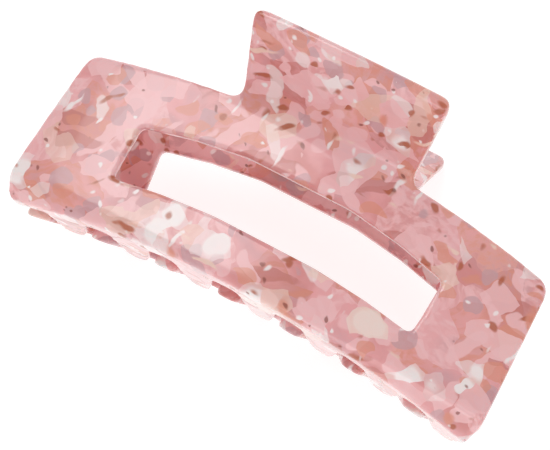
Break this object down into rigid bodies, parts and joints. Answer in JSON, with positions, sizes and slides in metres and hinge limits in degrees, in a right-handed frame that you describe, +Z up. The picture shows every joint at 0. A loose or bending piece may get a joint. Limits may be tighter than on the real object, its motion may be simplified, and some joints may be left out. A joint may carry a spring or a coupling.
{
  "type": "claw hair clip",
  "caption": "Large rectangular claw clip in marbled plastic: two window-framed toothed jaws, hinged behind wide finger tabs and sprung shut, lying closed on its rear jaw",
  "frame": {"origin": "under the middle of the closed clip, on the surface that it lies on", "axes": "+X along the clip, +Y towards the finger tabs, +Z up out of the front jaw"},
  "size_m": [0.1104, 0.0632, 0.0565],
  "materials": {
    "marbled_plastic": "polished marbled cellulose acetate, pink with pearl flakes and rust streaks",
    "plated_steel": "bright nickel plate",
    "spring_steel": "drawn wire"
  },
  "bodies": {
    "rear_half": {"rear_jaw": "marbled_plastic", "rear_bracket": "plated_steel", "rear_studs": "plated_steel", "hinge_pin": "plated_steel", "torsion_spring": "spring_steel"},
    "front_half": {"front_jaw": "marbled_plastic", "front_bracket": "plated_steel", "front_studs": "plated_steel"}
  },
  "joints": [
    {"name": "jaw_hinge", "type": "hinge", "parent": "rear_half", "child": "front_half", "pos_m": [0, 0.0072, 0.02493], "axis": [-1, 0, 0], "range_deg": [0, 55], "stiffness_Nm_per_rad": 0.12, "springref_deg": -45.84, "deforming": ["torsion_spring"]}
  ]
}
